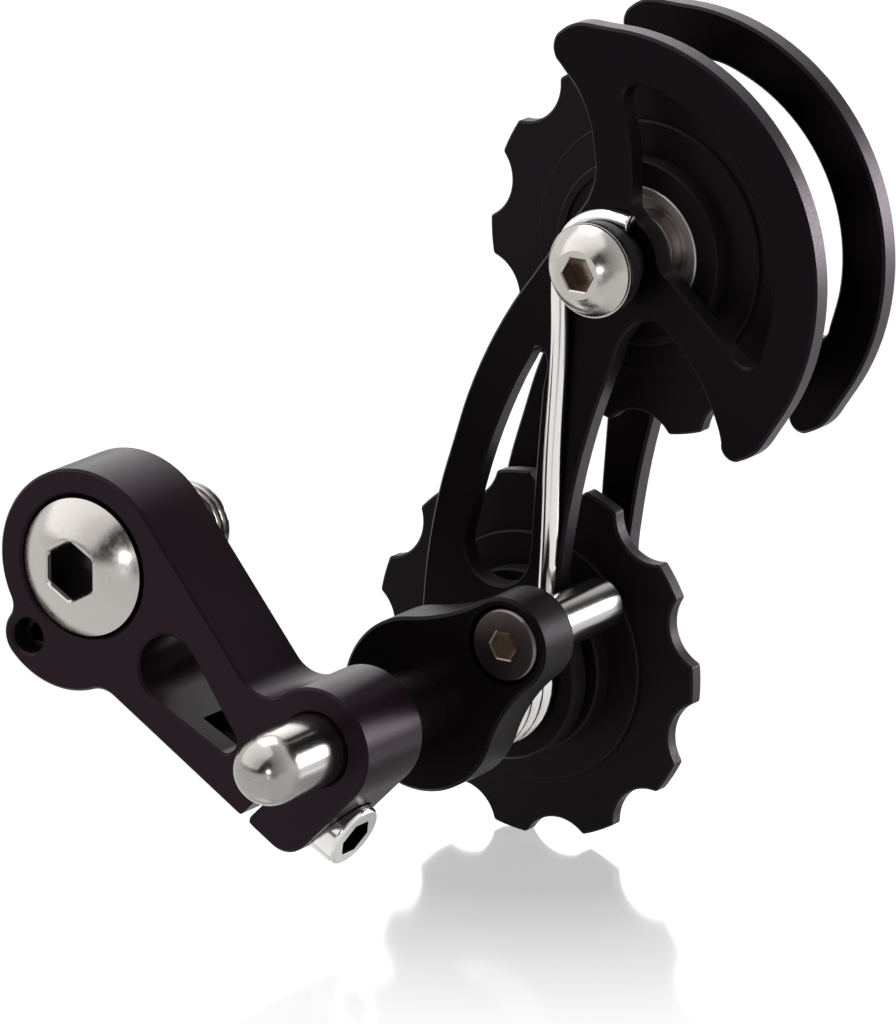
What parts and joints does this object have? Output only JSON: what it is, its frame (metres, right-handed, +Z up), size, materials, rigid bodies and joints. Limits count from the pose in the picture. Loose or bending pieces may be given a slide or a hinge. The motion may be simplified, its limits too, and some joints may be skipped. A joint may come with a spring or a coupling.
{
  "type": "bicycle chain tensioner",
  "caption": "Sprung chain tensioner with a bolted clamp arm, sliding pivot shaft, swinging two-plate cage and two toothed guide pulleys.",
  "frame": {"origin": "on the mounting bolt's axis, at the arm's back face", "axes": "+Y along the mounting bolt and pivot shaft toward the hanger, +Z up in the picture, +X from the mounting bolt toward the pivot shaft"},
  "size_m": [0.0824, 0.0677, 0.0952],
  "materials": {
    "black_anodised": "satin black anodised",
    "plate_black": "deep satin black anodised",
    "dark_bush": "dark grey bush",
    "bolt_steel": "bright stainless",
    "grub_steel": "dark blackened steel",
    "polished_steel": "polished",
    "spring_wire": "polished drawn wire",
    "pulley_black": "matt black anodised",
    "bearing_steel": "ground steel",
    "shield": "dark shield"
  },
  "bodies": {
    "arm": {"mount_arm": "black_anodised", "mount_bolt": "bolt_steel", "stop_grub_screw": "grub_steel", "clamp_screw": "bolt_steel"},
    "shaft": {"pivot_shaft": "polished_steel", "link": "plate_black", "link_screw": "grub_steel", "stop_post": "polished_steel", "coil_sleeve": "polished_steel", "torsion_spring": "spring_wire", "lower_bearing_inner": "bearing_steel", "lower_spacer_front": "bearing_steel", "lower_spacer_rear": "bearing_steel", "end_washer": "bolt_steel", "end_screw": "bolt_steel"},
    "cage": {"front_plate": "plate_black", "rear_plate": "plate_black", "upper_bolt": "bolt_steel", "hook_spacer": "dark_bush", "upper_bearing_inner": "bearing_steel", "upper_spacer_front": "bearing_steel", "upper_spacer_rear": "bearing_steel"},
    "lower_wheel": {"lower_pulley": "pulley_black", "lower_bearing_outer": "bearing_steel", "lower_shield_front": "shield", "lower_shield_rear": "shield", "lower_balls": "bearing_steel"},
    "upper_wheel": {"upper_pulley": "pulley_black", "upper_bearing_outer": "bearing_steel", "upper_shield_front": "shield", "upper_shield_rear": "shield", "upper_balls": "bearing_steel"}
  },
  "joints": [
    {"name": "shaft_slide", "type": "slide", "parent": "arm", "child": "shaft", "axis": [0, 1, 0], "range_m": [-0.008, 0.008]},
    {"name": "cage_swing", "type": "hinge", "parent": "shaft", "child": "cage", "pos_m": [0.03074, 0, -0.0152], "axis": [0, 1, 0], "range_deg": [-100, 0], "stiffness_Nm_per_rad": 0.35, "springref_deg": 57.3, "deforming": ["torsion_spring"]},
    {"name": "lower_wheel_spin", "type": "hinge", "parent": "shaft", "child": "lower_wheel", "pos_m": [0.03074, 0, -0.0152], "axis": [0, 1, 0], "continuous": true},
    {"name": "upper_wheel_spin", "type": "hinge", "parent": "cage", "child": "upper_wheel", "pos_m": [0.04584, 0, 0.03341], "axis": [0, 1, 0], "continuous": true}
  ]
}
